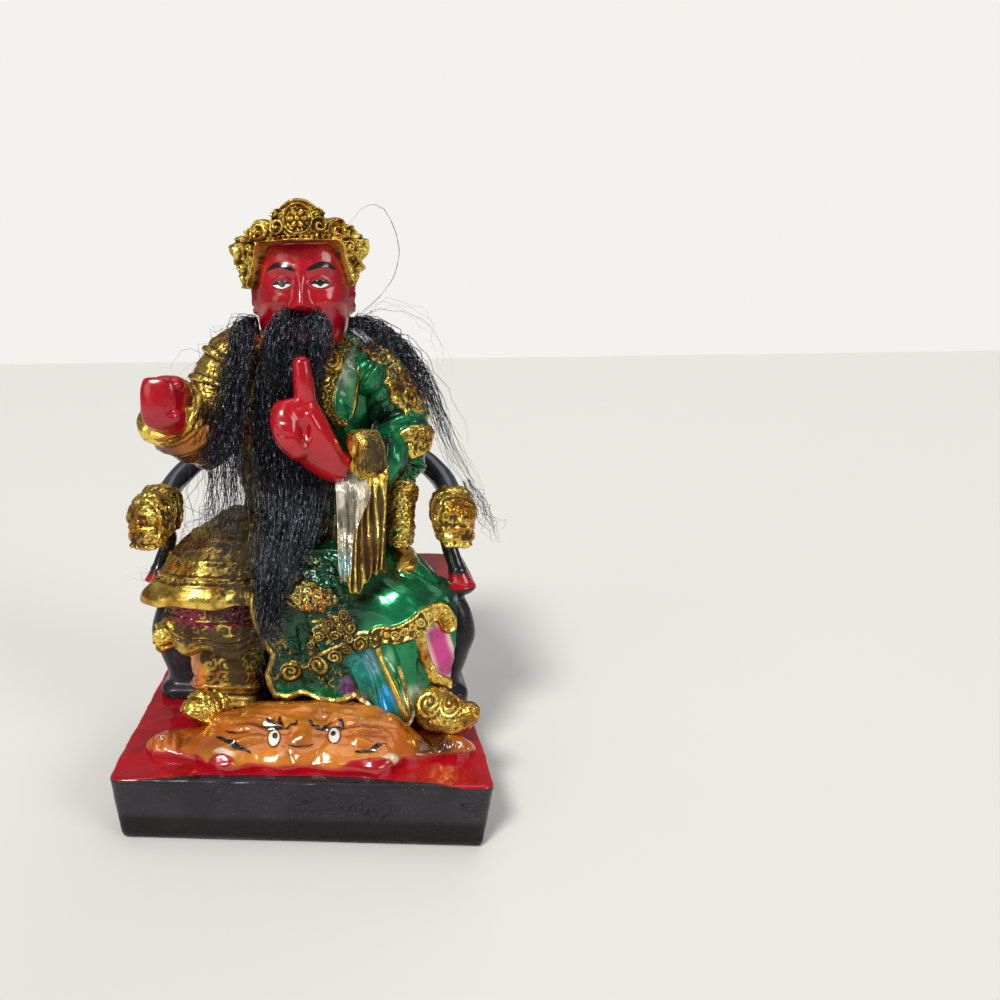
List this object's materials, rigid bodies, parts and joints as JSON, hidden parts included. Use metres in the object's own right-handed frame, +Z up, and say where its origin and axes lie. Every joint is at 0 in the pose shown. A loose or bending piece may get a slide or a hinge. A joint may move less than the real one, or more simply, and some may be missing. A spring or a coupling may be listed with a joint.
{
  "type": "seated warrior statue",
  "caption": "Seated bearded warrior on a horseshoe-backed throne with lion-headed arms, a tiger skin at its feet, on a square plinth; painted casting with glued hair tufts.",
  "frame": {"origin": "middle of the plinth's underside", "axes": "+Z up, -Y the way the figure looks, -X its right-hand side"},
  "size_m": [0.1552, 0.124, 0.244],
  "materials": {
    "painted_casting": "gloss",
    "hair_fibre": "satin"
  },
  "bodies": {
    "root": {"statue_casting": "painted_casting", "chin_beard": "hair_fibre", "moustache": "hair_fibre", "right_temple_lock": "hair_fibre", "left_temple_lock": "hair_fibre"}
  },
  "joints": []
}
